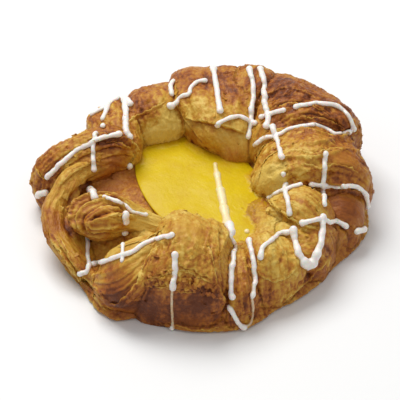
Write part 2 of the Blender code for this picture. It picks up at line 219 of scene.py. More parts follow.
def fold_points(path, depth, seed):
    """Points over one plump fold with ridges of a given depth, and where each is along and round it."""
    rings, around = FOLD_GRID
    table = stations(path)
    height = -np.cos(np.linspace(0, math.pi, rings))
    way = (height + 1) / 2
    here = smooth_path(table, way)
    ahead = (smooth_path(table, way + 0.01) - smooth_path(table, way - 0.01))[:, :3]
    ahead /= np.linalg.norm(ahead, axis=1)[:, None]
    outward = here[0, :3] * (1, 1, 0)
    side = np.cross(ahead, outward / np.linalg.norm(outward) + (0, 0, 1))
    for i in range(rings):
        before = side[max(i - 1, 0)]
        side[i] = before - ahead[i] * (before @ ahead[i])
        side[i] /= np.linalg.norm(side[i])
    up = np.cross(side, ahead)
    rows = (height, way, here, side, up)
    height, way, here, side, up = (np.repeat(values, around, axis=0) for values in rows)
    angle = np.tile(np.linspace(0, math.tau, around, endpoint=False), rings)

    rounded = (np.abs(np.cos(angle)) ** BOXY + np.abs(np.sin(angle)) ** BOXY) ** (-1 / BOXY)
    plump = np.nan_to_num((1 - np.abs(height) ** 3) ** (1 / 3)) * rounded
    wide, high = here[:, 3] * plump * np.cos(angle), here[:, 4] * plump * np.sin(angle)
    offset = side * wide[:, None] + up * high[:, None]
    place = here[:, :3] + offset
    out = offset / (np.linalg.norm(offset, axis=1)[:, None] + 1e-6)
    lumps = wavy(place, LUMP_SIZE, seed) * LUMP_DEPTH
    grain = np.column_stack([np.cos(angle) * 2.6, np.sin(angle) * 2.6, way * 1.5])
    ridges = (0.5 - np.abs(wavy(grain, 1, seed + 40)) * 3).clip(-1, 0.5) * depth
    place = place + out * ((lumps + ridges) * np.minimum(plump, 1))[:, None]
    return place, way, angle


def ring_points():
    """Points over the low ring under the folds, as a turned shape whose section changes on the way."""
    rows, count = RING_GRID
    angles = np.array([row[0] for row in RING] + [360.0])
    table = np.array([row[1:] for row in RING] + [RING[0][1:]], float)
    turn = np.linspace(0, 360, count, endpoint=False)
    i = np.searchsorted(angles, turn, side="right") - 1
    share = (1 - np.cos((turn - angles[i]) / (angles[i + 1] - angles[i]) * math.pi)) / 2
    values = table[i] * (1 - share)[:, None] + table[i + 1] * share[:, None]
    loops = []
    for degrees, (outer, *tops) in zip(turn, values):
        crown = [(min(radius, outer - 2), top) for radius, top in zip(RING_STEPS, tops)]
        section = [(0.01, 0), (outer - 2, 0), (outer, 4), (outer, 9), *reversed(crown), (0.01, 13)]
        radius, height = smooth_path(section, np.linspace(0, 1, rows)).T
        spoke = math.radians(degrees)
        loops.append(np.column_stack([radius * math.cos(spoke), radius * math.sin(spoke), height]))
    return np.stack(loops, axis=1).reshape(-1, 3)


def placed(name, data):
    """An object in the scene with the given mesh, lamp or camera."""
    made = bpy.data.objects.new(name, data)
    bpy.context.scene.collection.objects.link(made)
    return made


def make_plain(piece):
    """Make what a piece's modifiers show its own mesh, and take them off."""
    before = piece.data
    graph = bpy.context.evaluated_depsgraph_get()
    piece.data = bpy.data.meshes.new_from_object(piece.evaluated_get(graph))
    piece.modifiers.clear()
    bpy.data.meshes.remove(before)


def finder_of(points):
    """A search tree that finds the nearest of some points."""
    tree = KDTree(len(points))
    for i, spot in enumerate(points):
        tree.insert(spot, i)
    tree.balance()
    return tree


def vertex_array(data, kind, name):
    """A value of three numbers for each point of a mesh, as rows."""
    values = np.empty(len(data.vertices) * 3)
    getattr(data, kind).foreach_get(name, values)
    return values.reshape(-1, 3)


# The ring comes first and counts as fold -1, with no way along or round it.
paths, layer_counts, layer_depths, crumples, browns = zip(*FOLDS.values())
ring = ring_points()
parts = [(ring, np.zeros(len(ring)), np.zeros(len(ring)))]
parts += [fold_points(path, layer_depths[seed], seed) for seed, path in enumerate(paths)]
counts = [len(part[0]) for part in parts]
grids = zip([RING_GRID] + [FOLD_GRID] * len(FOLDS), np.cumsum([0] + counts[:-1]))
quads = np.concatenate([grid_faces(*grid, start) for grid, start in grids])
points, along, round_of = (np.concatenate(values) for values in zip(*parts))
fold_of = np.repeat(np.arange(-1, len(FOLDS)), counts)

rough = bpy.data.meshes.new("crust_rough")
rough.from_pydata((points * MM).tolist(), [], quads.tolist())
crust = placed("crust", rough)
fuse = crust.modifiers.new("fuse", "REMESH")
fuse.mode = "VOXEL"
fuse.voxel_size = CRUST_VOXEL * MM
ease = crust.modifiers.new("ease", "SMOOTH")
ease.factor = 0.5
ease.iterations = 2
make_plain(crust)

mesh = bmesh.new()
mesh.from_mesh(crust.data)
geometry = list(mesh.verts) + list(mesh.edges) + list(mesh.faces)
bmesh.ops.bisect_plane(mesh, geom=geometry, plane_co=(0, 0, 0), plane_no=(0, 0, 1), clear_inner=True)
bmesh.ops.holes_fill(mesh, edges=[edge for edge in mesh.edges if edge.is_boundary])
mesh.to_mesh(crust.data)
mesh.free()

place = vertex_array(crust.data, "vertices", "co") / MM
normal = vertex_array(crust.data, "vertex_normals", "vector")
finder = finder_of(points.tolist())
nearest = np.array([finder.find(spot)[1] for spot in place.tolist()])
which, way, angle = fold_of[nearest], along[nearest], round_of[nearest]

# The marks and sheets are drawn in dots across and down, as seen from the front and 42 degrees above
# the table. MIDDLE_DOT is the middle of the underside, and DOTS_PER_MM is the drawing's scale.
# Each line of sight starts FAR_OFF millimetres before the pastry's middle.
VIEW_SLOPE = math.radians(42)
AHEAD = Vector((0, math.cos(VIEW_SLOPE), -math.sin(VIEW_SLOPE)))
ABOVE = Vector((0, math.sin(VIEW_SLOPE), math.cos(VIEW_SLOPE)))
MIDDLE_DOT = (112, 255)
DOTS_PER_MM = 1.862
FAR_OFF = 200


def landing(surface, across, up):
    """Where a line of sight meets a surface, and the surface's direction there."""
    start = Vector((across, 0, 0)) + ABOVE * up - AHEAD * FAR_OFF
    return surface.ray_cast(start, AHEAD)[:2]


# Edges of sheets, creases and raised lines, each with its height and width in millimetres.
# An edge's thick side is to the left along its line.
MARKS = [
    ("edge", 0.9, 1.0, (96, 163), (96, 172), (98, 180), (104, 189), (109, 196), (115, 203)),
    ("crease", 0.8, 0.9, (95, 164), (95, 173), (97, 181), (103, 190), (108, 197), (114, 204)),
    ("edge", 1.5, 2.2, (103, 186), (112, 189), (122, 191), (132, 194), (141, 197)),
    ("crease", 0.9, 1.0, (146, 157), (147, 167), (147, 177), (146, 186), (143, 197)),
    ("edge", 0.5, 1.2, (150, 178), (158, 171), (168, 167), (178, 170), (187, 176)),
    ("edge", 0.5, 1.2, (150, 187), (160, 179), (172, 176), (184, 179), (196, 186)),
    ("edge", 0.5, 1.2, (162, 190), (172, 185), (184, 184), (196, 188), (205, 193)),
    ("crease", 0.5, 0.7, (152, 182), (162, 174), (174, 172), (186, 177), (198, 186)),
    ("edge", 0.9, 1.2, (213, 195), (200, 198), (186, 194), (174, 192), (160, 194), (150, 201), (147, 211)),
    ("ridge", 0.6, 0.8, (152, 214), (160, 207), (170, 204), (182, 203), (194, 201), (206, 199)),
    ("ridge", 0.6, 0.8, (154, 222), (160, 215), (170, 211), (182, 212), (194, 209), (206, 207), (214, 209)),
    ("ridge", 0.5, 0.8, (158, 230), (163, 222), (171, 219), (183, 220), (196, 216), (209, 217)),
    ("crease", 0.5, 0.7, (149, 226), (151, 216), (158, 208), (168, 206)),
    ("crease", 0.5, 0.7, (184, 227), (195, 222), (207, 224), (216, 228)),
    ("edge", 1.1, 1.2, (181, 232), (192, 230), (202, 230), (212, 232), (219, 238)),
    ("edge", 0.8, 1.0, (153, 237), (160, 244), (168, 250), (176, 255), (185, 258)),
    ("crease", 0.9, 0.9, (152, 239), (159, 246), (167, 252), (175, 257), (184, 260)),
    ("ridge", 0.6, 0.8, (184, 259), (186, 270), (183, 284)),
    ("ridge", 0.6, 0.8, (191, 258), (195, 268), (192, 281)),
    ("ridge", 0.6, 0.8, (198, 256), (204, 264), (201, 275)),
    ("ridge", 0.5, 0.8, (206, 252), (211, 260), (210, 268)),
    ("crease", 0.4, 1.2, (162, 304), (170, 296), (178, 288), (186, 281), (192, 274)),
    ("crease", 0.9, 0.9, (125, 258), (126, 270), (126, 285), (128, 300), (132, 314)),
    ("ridge", 0.6, 1.1, (139, 271), (140, 285), (139, 300)),
    ("crease", 0.7, 0.8, (134, 266), (135, 282), (134, 300)),
    ("crease", 0.7, 0.8, (146, 266), (146, 282), (145, 300)),
    ("edge", 0.3, 1.0, (89, 260), (86, 269), (82, 280), (80, 291)),
    ("ridge", 0.4, 0.6, (95, 258), (91, 264), (89, 272), (87, 281)),
    ("ridge", 0.4, 0.6, (99, 260), (95, 266), (93, 274), (91, 282)),
    ("ridge", 0.3, 0.6, (101, 263), (105, 262), (108, 266), (106, 270), (102, 270), (100, 266)),
    ("torn", 0.6, 1.1, (79, 287), (86, 285), (92, 283), (98, 281), (104, 281), (110, 284), (116, 287),
     (121, 291)),
    ("torn", 0.6, 1.4, (76, 292), (84, 292), (92, 292), (100, 294), (108, 295), (115, 297), (121, 299),
     (127, 303)),
    ("edge", 0.5, 0.9, (128, 302), (124, 294), (121, 284), (119, 274), (117, 264)),
    ("ridge", 1.3, 1.5, (89, 262), (85, 272), (80, 283), (75, 292), (68, 300), (60, 304)),
    ("edge", 0.8, 1.0, (86, 267), (79, 276), (75, 284), (72, 292), (67, 299), (61, 303), (55, 303)),
    ("edge", 0.5, 0.8, (76, 306), (79, 298), (82, 290), (88, 284)),
    ("ridge", 0.7, 1.0, (42, 286), (52, 285), (60, 282), (68, 277), (76, 271), (86, 266), (95, 263)),
    ("edge", 0.4, 0.7, (44, 290), (54, 291), (63, 288), (71, 282), (79, 274)),
    ("edge", 0.4, 0.7, (46, 296), (55, 298), (64, 295), (72, 288), (79, 279)),
    ("crease", 0.4, 0.6, (45, 293), (55, 295), (64, 292), (72, 285), (80, 276)),
    ("edge", 0.7, 0.8, (18, 263), (24, 273), (31, 283), (38, 292), (45, 300), (52, 308)),
    ("edge", 0.7, 0.8, (23, 263), (29, 273), (36, 283), (43, 291), (50, 299), (57, 308)),
    ("ridge", 0.25, 0.9, (66, 218), (52, 222), (38, 228), (28, 237), (24, 248), (26, 259), (31, 269),
     (37, 277)),
    ("ridge", 0.3, 0.8, (58, 217), (44, 221), (30, 229), (22, 239), (19, 250), (22, 262), (29, 272)),
    ("crease", 0.3, 0.7, (40, 222), (28, 230), (19, 240), (15, 250), (17, 261), (24, 272)),
    ("edge", 0.3, 1.0, (30, 248), (29, 240), (33, 232), (42, 227), (54, 222), (66, 219), (73, 213)),
    ("crease", 1.2, 1.1, (44, 228), (37, 231), (31, 237), (28, 246), (28, 255), (33, 263)),
    ("crease", 0.8, 0.5, (21, 264), (27, 274), (34, 284), (41, 293), (49, 302)),
    ("edge", 1.0, 1.0, (74, 208), (66, 201), (60, 196), (47, 198), (36, 199)),
    ("edge", 0.6, 0.8, (18, 226), (30, 216), (43, 209), (57, 205), (68, 207)),
    ("edge", 0.6, 0.8, (22, 231), (34, 221), (47, 214), (60, 210), (70, 211)),
    ("edge", 0.6, 0.8, (12, 224), (22, 213), (34, 206), (48, 202), (62, 202)),
    ("ridge", 0.4, 0.8, (44, 186), (46, 196)),
    ("ridge", 0.4, 0.8, (52, 181), (53, 195)),
    ("ridge", 0.4, 0.8, (60, 176), (60, 193)),
    ("crease", 0.7, 0.8, (64, 175), (64, 188), (67, 199)),
    ("ridge", 0.4, 0.8, (70, 170), (70, 184), (73, 199)),
    ("ridge", 0.4, 0.8, (79, 167), (79, 182)),
    ("ridge", 0.4, 0.8, (87, 164), (88, 178)),
    ("ridge", 1.1, 0.6, (68, 242), (60, 237), (52, 235), (43, 236), (35, 239), (31, 245), (31, 251),
     (36, 258)),
    ("ridge", 1.1, 0.6, (66, 244), (58, 240), (51, 239), (44, 241), (38, 245), (35, 251), (38, 257),
     (44, 261), (56, 262)),
    ("ridge", 1.1, 0.6, (74, 249), (68, 249), (62, 248), (56, 249), (50, 251), (43, 253), (45, 256),
     (54, 256), (64, 255)),
    ("ridge", 0.7, 0.5, (64, 245), (58, 244), (52, 245), (45, 249), (41, 253), (43, 258), (52, 260)),
    ("crease", 0.9, 0.5, (66, 243), (59, 238), (52, 237), (43, 239), (36, 243), (33, 250), (37, 258)),
    ("crease", 0.9, 0.5, (66, 246), (58, 242), (51, 242), (44, 245), (39, 250), (39, 256), (46, 260),
     (58, 260)),
    ("crease", 0.8, 0.5, (70, 247), (62, 246), (54, 247), (47, 250), (42, 254)),
]
# Smooth places, then how much paler or browner a place is painted, partly the dough's browning and partly
# painted shade and painted light; each has its radius in millimetres.
SMOOTH = [
    (115, 207, 8), (128, 207, 8), (138, 210, 7), (206, 244, 9), (55, 228, 9), (40, 233, 8), (68, 224, 7),
    (104, 316, 6), (52, 273, 6), (66, 268, 6), (78, 212, 6), (74, 251, 5),
    (151, 222, 5), (88, 197, 2.5), (106, 256, 5), (62, 293, 5), (74, 282, 5), (50, 296, 4), (40, 243, 3.5),
    (46, 257, 3.5), (70, 308, 6), (22, 240, 4), (22, 254, 4), (28, 268, 4), (198, 270, 5), (205, 214, 5),
    (58, 217, 5), (60, 300, 5), (84, 250, 4), (40, 268, 4), (181, 287, 4),
]
# Among these tones, the inner wall of the back fold, the hollow under the left fold, the crease between the
# left rim and the curl, the right face, the lower front faces and the small pits by the custard are painted
# shade; the curl's tip, the pale inner end of the right fold, a highlight on the front right fold and the
# bright edge of the front left sheet are painted light.
TONES_AND_PAINTED_LIGHT = [
    (113, 178, 8, -0.4), (130, 178, 7, 0.25), (92, 190, 6, -0.45), (156, 226, 5, -1.05), (106, 253, 7, 0.05),
    (48, 186, 6, 0.15), (172, 246, 8, -0.2), (157, 264, 5, -0.2), (162, 281, 7, -0.2), (70, 180, 8, 0.3),
    (60, 282, 4, 0.15), (205, 244, 5, 0.2), (181, 211, 8, -0.2), (30, 211, 5, -0.2), (58, 217, 4, 0.35),
    (43, 246, 5, 0.1), (66, 304, 5, 0.3), (65, 268, 4, 0.3), (20, 252, 4, 0.1), (78, 252, 3, -0.2),
    (55, 230, 6, 0.3), (70, 226, 5, 0.25), (40, 234, 4, 0.25), (181, 287, 3, 0.4), (205, 214, 6, 0.2),
    (83, 272, 2.5, -0.3), (76, 285, 2.5, -0.4), (69, 297, 2.5, -0.1), (56, 298, 5, 0.1),
    (29, 247, 2.5, 0.35), (32, 238, 2.5, 0.35), (30, 257, 2.5, 0.35),
    (56, 198, 6, 0.6), (30, 206, 8, 0.1), (12, 222, 6, 0.15), (170, 172, 12, 0.3), (196, 186, 9, 0.2),
    (205, 244, 9, 0.2), (200, 266, 10, 0.13), (185, 285, 8, 0.1), (100, 312, 14, 0.3), (60, 300, 9, 0.65),
    (55, 230, 9, -0.05), (100, 287, 6, -0.3), (125, 162, 10, 0.15), (25, 255, 8, 0.1), (64, 266, 7, -0.35),
    (154, 252, 5, -0.35), (78, 252, 6, -0.45), (122, 207, 6, 0.35), (136, 212, 5, 0.3), (84, 200, 5, -0.3),
    (109, 200, 4, 0.3), (138, 288, 7, 0.15), (150, 300, 7, 0.35), (47, 186, 5, 0.1), (205, 212, 8, -0.1),
    (183, 232, 5, 0.1), (84, 309, 7, 0.2), (36, 278, 6, 0.2), (165, 163, 7, 0.3), (107, 272, 6, -0.15),
    (108, 163, 5, 0.2), (40, 224, 4, -0.05), (20, 255, 5, 0.35), (107, 202, 0.9, 1.2), (116, 206, 0.8, 1.2),
    (145, 225, 0.8, 1.2), (100, 299, 5, 0.3), (114, 302, 4, 0.3),
]
# Where a layer broke across and left crumbs, and where custard ran up the dough, each with its radius.
CRUMBS = [(82, 288, 2.5), (89, 288, 3), (97, 288, 3), (105, 288, 3), (113, 291, 3), (120, 295, 2.5)]
SMEARS = [(150, 247, 3), (155, 253, 3), (146, 243, 2.5), (161, 259, 2.5)]


def surface_in_mm(*objects):
    """A search tree over the surfaces of some objects, in millimetres."""
    mesh = bmesh.new()
    for obj in objects:
        mesh.from_mesh(obj.data)
    bmesh.ops.scale(mesh, vec=(1 / MM, 1 / MM, 1 / MM), verts=list(mesh.verts))
    tree = BVHTree.FromBMesh(mesh)
    mesh.free()
    return tree


def in_mm(dots):
    """Drawn dots as millimetres across and up from the middle of the underside."""
    return (np.array(dots, float) - MIDDLE_DOT) / (DOTS_PER_MM, -DOTS_PER_MM)


def length_of(table):
    """The length of a line through rows of coordinates."""
    return np.linalg.norm(np.diff(table, axis=0), axis=1).sum()


def stepped(table, step):
    """Rows about one step apart on a smooth line through a few."""
    return smooth_path(table, np.linspace(0, 1, int(length_of(table) / step) + 2))


base_surface = surface_in_mm(crust)
MARK_STEP = 0.4


def marked(kind, height, width, *dots):
    """The points near a drawn line, and how far it lifts or sinks each."""
    line = stepped(in_mm(dots), MARK_STEP)
    landed = np.array([spot for x, y in line if (spot := landing(base_surface, x, y)[0])])
    ahead = np.gradient(landed, axis=0)
    ahead /= np.linalg.norm(ahead, axis=1)[:, None] + 1e-9
    reach = 4 * width
    near = np.flatnonzero(((place > landed.min(0) - reach) & (place < landed.max(0) + reach)).all(axis=1))
    away = place[near][:, None] - landed[None]
    best = (away**2).sum(-1).argmin(1)
    away = away[np.arange(len(near)), best]
    across = (np.cross(normal[near], ahead[best]) * away).sum(1)
    far = np.linalg.norm(away, axis=1)
    end = np.minimum(best, len(landed) - 1 - best) * MARK_STEP
    fade = np.clip(end / 2.5, 0, 1) * np.clip((reach - far) / width, 0, 1)
    ragged = 1.1 if kind == "torn" else 0.25
    across = across + wavy(place[near], 2.2, 91) * ragged + wavy(place[near], 0.9, 92) * ragged * 0.5
    if kind in ("crease", "ridge"):
        lift = (height if kind == "ridge" else -height) * np.exp(-((across / width) ** 2))
    else:
        thick = height * np.exp(-np.maximum(across, 0) / (2.5 * width))
        thin = -0.5 * height * np.exp(-np.maximum(-across, 0) / width)
        blend = np.clip(across / 0.4 + 0.5, 0, 1)
        lift = thick * blend + thin * (1 - blend)
    return near, lift * fade


def patched(x, y, radius):
    """How much each point belongs to a round patch of the surface."""
    spot = np.array(landing(base_surface, *in_mm((x, y)))[0])
    return np.exp(-((np.linalg.norm(place - spot, axis=1) / radius) ** 2))


def at_each_point(fold_values, ring_value):
    """The value of the fold that each point belongs to; fold -1, the ring, finds the last one."""
    return np.array([*fold_values, ring_value])[which]


drawn = np.zeros(len(place))
for mark in MARKS:
    near, lift = marked(*mark)
    drawn[near] += lift
smooth = np.max([patched(*spot) for spot in SMOOTH], axis=0)
# The tones paint shade and light into the crust's colour, as well as its browning.
toned_and_painted_light = sum(patched(x, y, radius) * amount for x, y, radius, amount in TONES_AND_PAINTED_LIGHT)
crumbly = np.clip(sum(patched(*spot) for spot in CRUMBS), 0, 1)
smeared = np.clip(sum(patched(*spot) for spot in SMEARS), 0, 1)

# Thin layers run along each fold and break off in small steps; the whole crust is crumpled and pitted.
layers = at_each_point(layer_counts, 5.0)
layer_depth = at_each_point(layer_depths, 0.3)
crumple = at_each_point(crumples, 0.3)
fold_length = at_each_point([length_of(stations(path)[:, :3]) for path in paths], 0.0)
grain = np.column_stack([np.cos(angle) * 10, np.sin(angle) * 10, way * fold_length * 0.35])
grain[which < 0] = place[which < 0]
grain += which[:, None] * (7.3, 3.1, 5.9)
# Large uneven numbers that give each flake a level of its own.
SHUFFLE = (12.99, 78.23, 37.72)
SHUFFLE_STRENGTH = 43758.5


def flaked(points, size):
    """The level of the flake that each point lies on, where a surface is broken, and its place along it."""
    moved = points / size
    middles = np.array([noise.voronoi(spot)[1][0] for spot in moved.tolist()])
    level = np.mod(np.abs(np.sin(middles @ SHUFFLE) * SHUFFLE_STRENGTH), 1) - 0.5
    return level, (moved - middles)[:, 2]


drift = wavy(place, 9, 71) * 0.9 + wavy(place, 3.5, 72) * 0.35
count = angle / math.pi * layers + drift
step = np.mod(count, 1)
shingle = np.where(step < 0.85, step / 0.85, (1 - step) / 0.15) - 0.5
shown = np.clip(0.4 + wavy(place, 7, 73) * 1.6, 0, 1) * (1 - smooth * 0.8)
creases = 0.5 - np.abs(wavy(place * (1, 1, 1.3), 4.2, 74)) * 2.4
fine = wavy(place, 1.6, 75) * 0.5 + wavy(place, 0.9, 76) * 0.4
broken = np.clip(0.6 + wavy(place, 8, 77) * 1.6, 0, 1) * (1 - smooth)
ragged = np.column_stack([wavy(place, 1.4, seed) for seed in (78, 79, 81)]) * 0.8
flake, slant = flaked(grain + ragged, 4.2)
wrinkles = 0.5 - np.abs(wavy(grain, 1.7, 80)) * 2.5
relief = layer_depth * shown * shingle * 0.8 + crumple * creases * (0.5 - 0.4 * smooth)
relief += (crumple * 0.7 + 0.25) * fine * (1 - smooth * 0.8) + drawn
relief += crumple * broken * (0.75 * flake + 0.4 * slant) + crumple * 0.4 * wrinkles * (1 - smooth)
relief += crumbly * (1.0 * flaked(place + ragged * 0.4, 1.5)[0] + wavy(place, 1, 83) * 0.4)
relief[place[:, 2] < 0.01] = 0
place = place + normal * relief[:, None]
place[:, 2] = np.maximum(place[:, 2], 0)
crust.data.vertices.foreach_set("co", (place * MM).ravel())
crust.data.update()

edges = np.empty(len(crust.data.edges) * 2, int)
crust.data.edges.foreach_get("vertices", edges)
ends, starts = edges.reshape(-1, 2).T


def gathered(at_starts, at_ends):
    """At each point, the sum of what its edges bring from their other ends."""
    return np.bincount(ends, at_starts, len(place)) + np.bincount(starts, at_ends, len(place))


def spread(values, rounds):
    """Values averaged with their neighbours' along the mesh's edges, a number of times."""
    neighbours = gathered(None, None)
    for _ in range(rounds):
        values = (values + gathered(values[starts], values[ends]) / neighbours) / 2
    return values


def bulge(rounds):
    """How far each point stands out from its surroundings, in millimetres."""
    calm = np.column_stack([spread(place[:, k], rounds) for k in range(3)])
    return ((place - calm) * normal).sum(axis=1)


def carry(data, name, values):
    """Store a number at each point of a mesh."""
    layer = data.attributes.new(name, "FLOAT", "POINT")
    layer.data.foreach_set("value", np.array(values, np.float32))


def carry_grain(data, points):
    """Store each point's place in the dough's grain, in metres."""
    layer = data.attributes.new("grain", "FLOAT_VECTOR", "POINT")
    layer.data.foreach_set("vector", np.array(points, np.float32).ravel())


brown_and_painted_light = np.full(len(place), 0.6)
for seed, along_fold in enumerate(browns):
    mine = which == seed
    brown_and_painted_light[mine] = np.interp(way[mine], np.linspace(0, 1, len(along_fold)), along_fold)
# Adding the listed tones paints shade and light into each point's brown, along with the dough's own
# browning.
brown_and_painted_light = spread(brown_and_painted_light, 25) + toned_and_painted_light
ridge = np.clip(bulge(8) * 3, -1, 1)
swell = np.clip(bulge(70) * 0.8, -1, 1)
brown_and_painted_light = brown_and_painted_light + swell * 0.15 - np.minimum(swell, 0) * 0.2
loose = np.clip(broken * 0.5 + np.maximum(ridge, 0) * 1.5 + crumbly - 0.4, 0, 1)
loose = loose * (place[:, 2] > 6) * (1 - smooth)
carry(crust.data, "brown_and_painted_light", brown_and_painted_light)
carry(crust.data, "ridge", ridge)
carry(crust.data, "flake", flake * broken)
carry(crust.data, "smear", smeared)
carry(crust.data, "loose", loose)
carry(crust.data, "calm", smooth)
carry_grain(crust.data, grain * MM)
crust.data.shade_smooth()

thin = crust.modifiers.new("thin", "DECIMATE")
thin.ratio = min(1, CRUST_TRIANGLES / (len(crust.data.loops) - 2 * len(crust.data.polygons)))
make_plain(crust)


def fill(tree, socket, value):
    """Link a node's input where a socket is given, or else set it."""
    if isinstance(value, bpy.types.NodeSocket):
        tree.links.new(value, socket)
    else:
        socket.default_value = value


def node(tree, kind, **sockets):
    """A node with its inputs filled by name."""
    made = tree.nodes.new(kind)
    for name, value in sockets.items():
        fill(tree, made.inputs[name.replace("_", " ")], value)
    return made


def maths(tree, operation, one, other):
    """One value and another, added, subtracted or multiplied."""
    made = tree.nodes.new("ShaderNodeMath")
    made.operation = operation
    fill(tree, made.inputs[0], one)
    fill(tree, made.inputs[1], other)
    return made.outputs[0]


def summed(tree, value, *parts):
    """A value with each part added at its own strength."""
    for part, strength in parts:
        value = maths(tree, "ADD", value, maths(tree, "MULTIPLY", part, strength))
    return value


def clouded(tree, where, scale, detail, roughness=0.5):
    """Soft noise over a surface."""
    sockets = {"Vector": where, "Scale": scale, "Detail": detail, "Roughness": roughness}
    return node(tree, "ShaderNodeTexNoise", **sockets).outputs[0]


def colours(tree, value, stops):
    """A ramp from one colour to the next, each given as sRGB values out of 255 and its place."""
    made = tree.nodes.new("ShaderNodeValToRGB")
    tree.links.new(value, made.inputs[0])
    ramp = made.color_ramp
    while len(ramp.elements) < len(stops):
        ramp.elements.new(0.5)
    for element, (position, *colour) in zip(ramp.elements, stops):
        element.position = position
        linear = [(c / 255 / 12.92) if c < 11 else ((c / 255 + 0.055) / 1.055) ** 2.4 for c in colour]
        element.color = (*linear, 1)
    return made.outputs[0]


def attribute(tree, name, output="Fac"):
    """A value that the mesh carries at each of its points."""
    made = tree.nodes.new("ShaderNodeAttribute")
    made.attribute_name = name
    return made.outputs[output]


def mixed(tree, amount, one, other):
    """One colour where the amount is 0, the other where it is 1."""
    made = tree.nodes.new("ShaderNodeMixRGB")
    for socket, value in zip(made.inputs, (amount, one, other)):
        tree.links.new(value, socket)
    return made.outputs[0]


def new_finish(name):
    """A material with its node tree, its shader and the object's own coordinates."""
    made = bpy.data.materials.new(name)
    made.use_nodes = True
    tree = made.node_tree
    where = tree.nodes.new("ShaderNodeTexCoord").outputs["Object"]
    return made, tree, tree.nodes["Principled BSDF"], where


def dress(tree, shader, colour, roughness, **relief):
    """Link a shader's colour, its roughness and its fine relief."""
    tree.links.new(colour, shader.inputs["Base Color"])
    tree.links.new(roughness, shader.inputs["Roughness"])
    tree.links.new(node(tree, "ShaderNodeBump", **relief).outputs[0], shader.inputs["Normal"])


baked, tree, shader, where = new_finish("baked_dough")
patches = clouded(tree, where, 180, 4.0, 0.6)
specks = clouded(tree, where, 560, 4.0, 0.7)
grained = attribute(tree, "grain", "Vector")
streaks = clouded(tree, grained, 420, 4.0, 0.65)
blisters = node(tree, "ShaderNodeTexVoronoi", Vector=grained, Scale=620, Detail=1.0, Roughness=0.6)
blisters = blisters.outputs["Distance"]
brown_and_painted_light, ridge, flake, calm = (attribute(tree, name) for name in ("brown_and_painted_light", "ridge", "flake", "calm"))
# Points that stand out are painted lighter and creases darker: partly the paler cut edges of the layers,
# partly painted highlight on the edges and painted shade in the creases.
tone = summed(tree, brown_and_painted_light, (ridge, -0.4), (flake, 0.3))
patterns = ((patches, 1.1), (specks, 1.0), (streaks, 0.7), (blisters, 0.35))
centred = [(maths(tree, "SUBTRACT", pattern, 0.5), strength) for pattern, strength in patterns]
uneven = summed(tree, 1.0, (calm, -0.7))
tone = summed(tree, maths(tree, "SUBTRACT", tone, 0.13), (summed(tree, 0, *centred), uneven))
tone = maths(tree, "MULTIPLY", tone, 0.8)
stops = [
    (0.0, 222, 188, 92), (0.28, 200, 151, 52), (0.52, 178, 114, 33), (0.72, 153, 84, 23),
    (0.82, 129, 66, 15), (1.0, 98, 44, 6),
]
crumb = colours(tree, tone, stops)
creamed = colours(tree, tone, [(0.0, 216, 186, 80), (0.4, 198, 154, 50), (0.8, 156, 104, 32)])
smear = maths(tree, "MULTIPLY", attribute(tree, "smear"), maths(tree, "ADD", patches, 0.5))
colour, roughness = mixed(tree, smear, crumb, creamed), summed(tree, 0.28, (patches, 0.35))
height = summed(tree, specks, (streaks, 1), (blisters, -0.5))
dress(tree, shader, colour, roughness, Strength=0.75, Distance=0.0006, Height=height)
shader.inputs["Specular IOR Level"].default_value = 0.32
crust.data.materials.append(baked)
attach(crust, "root")
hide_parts("pastry")

# Loose sheets: the outermost layers of dough, as thin as paper, which lifted and tore in the oven.
# Each is free and ragged along its drawn edge, and joined to the crust on the left of that line.
SHEET_THICKNESS = 0.25
SHEET_STEP = 0.45
# How much lighter each of a sheet's columns of points is painted, from its free edge inwards: partly the
# paler thin dough, partly painted highlight along the edge.
EDGE_LIGHT = (1.3, 0.5, 0.1, 0, 0, 0)
COLUMNS = len(EDGE_LIGHT)
